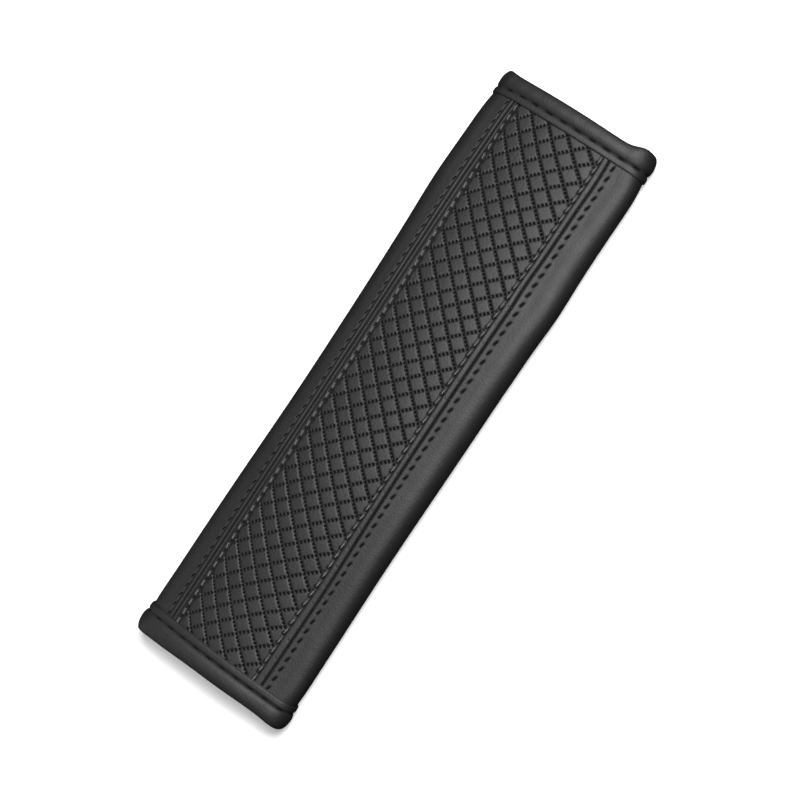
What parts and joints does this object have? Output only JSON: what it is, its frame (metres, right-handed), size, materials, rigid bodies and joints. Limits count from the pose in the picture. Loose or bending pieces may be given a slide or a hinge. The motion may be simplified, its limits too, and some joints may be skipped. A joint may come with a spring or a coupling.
{
  "type": "seat belt shoulder pad",
  "caption": "Padded leather sleeve that wraps round a seat belt: quilted front, plain rolled sides, bound ends and a hook and loop closure along its back.",
  "frame": {"origin": "centre of the footprint, on the plane of the surface that the closed pad lies on with its front upward", "axes": "+Y along the belt, towards the end that lies at the upper right of the picture; +X across the pad, towards the side that lies at the right of the picture; +Z from the closure at the back to the quilted front"},
  "size_m": [0.0768, 0.27, 0.0243],
  "materials": {
    "quilted_leather": "soft charcoal leather, pressed in diamonds",
    "side_leather": "soft charcoal leather, fine grain, low sheen",
    "binding_leather": "soft charcoal leather, folded strip",
    "foam": "open-cell foam",
    "lining_cloth": "black knitted cloth",
    "hook_tape": "black hook tape",
    "loop_tape": "black brushed loop tape",
    "thread": "black polyester thread, slight sheen"
  },
  "bodies": {
    "root": {"quilted_centre_panel": "quilted_leather", "left_side_panel": "side_leather", "right_side_panel": "side_leather", "foam_pad": "foam", "lining": "lining_cloth", "top_end_binding": "binding_leather", "bottom_end_binding": "binding_leather", "hook_tape": "hook_tape", "loop_tape": "loop_tape", "left_side_topstitch": "thread", "left_panel_topstitch": "thread", "right_panel_topstitch": "thread", "right_side_topstitch": "thread", "hook_tape_stitch_left": "thread", "hook_tape_stitch_right": "thread", "loop_tape_stitch_left": "thread", "loop_tape_stitch_right": "thread", "top_binding_stitch": "thread", "bottom_binding_stitch": "thread"}
  },
  "joints": []
}
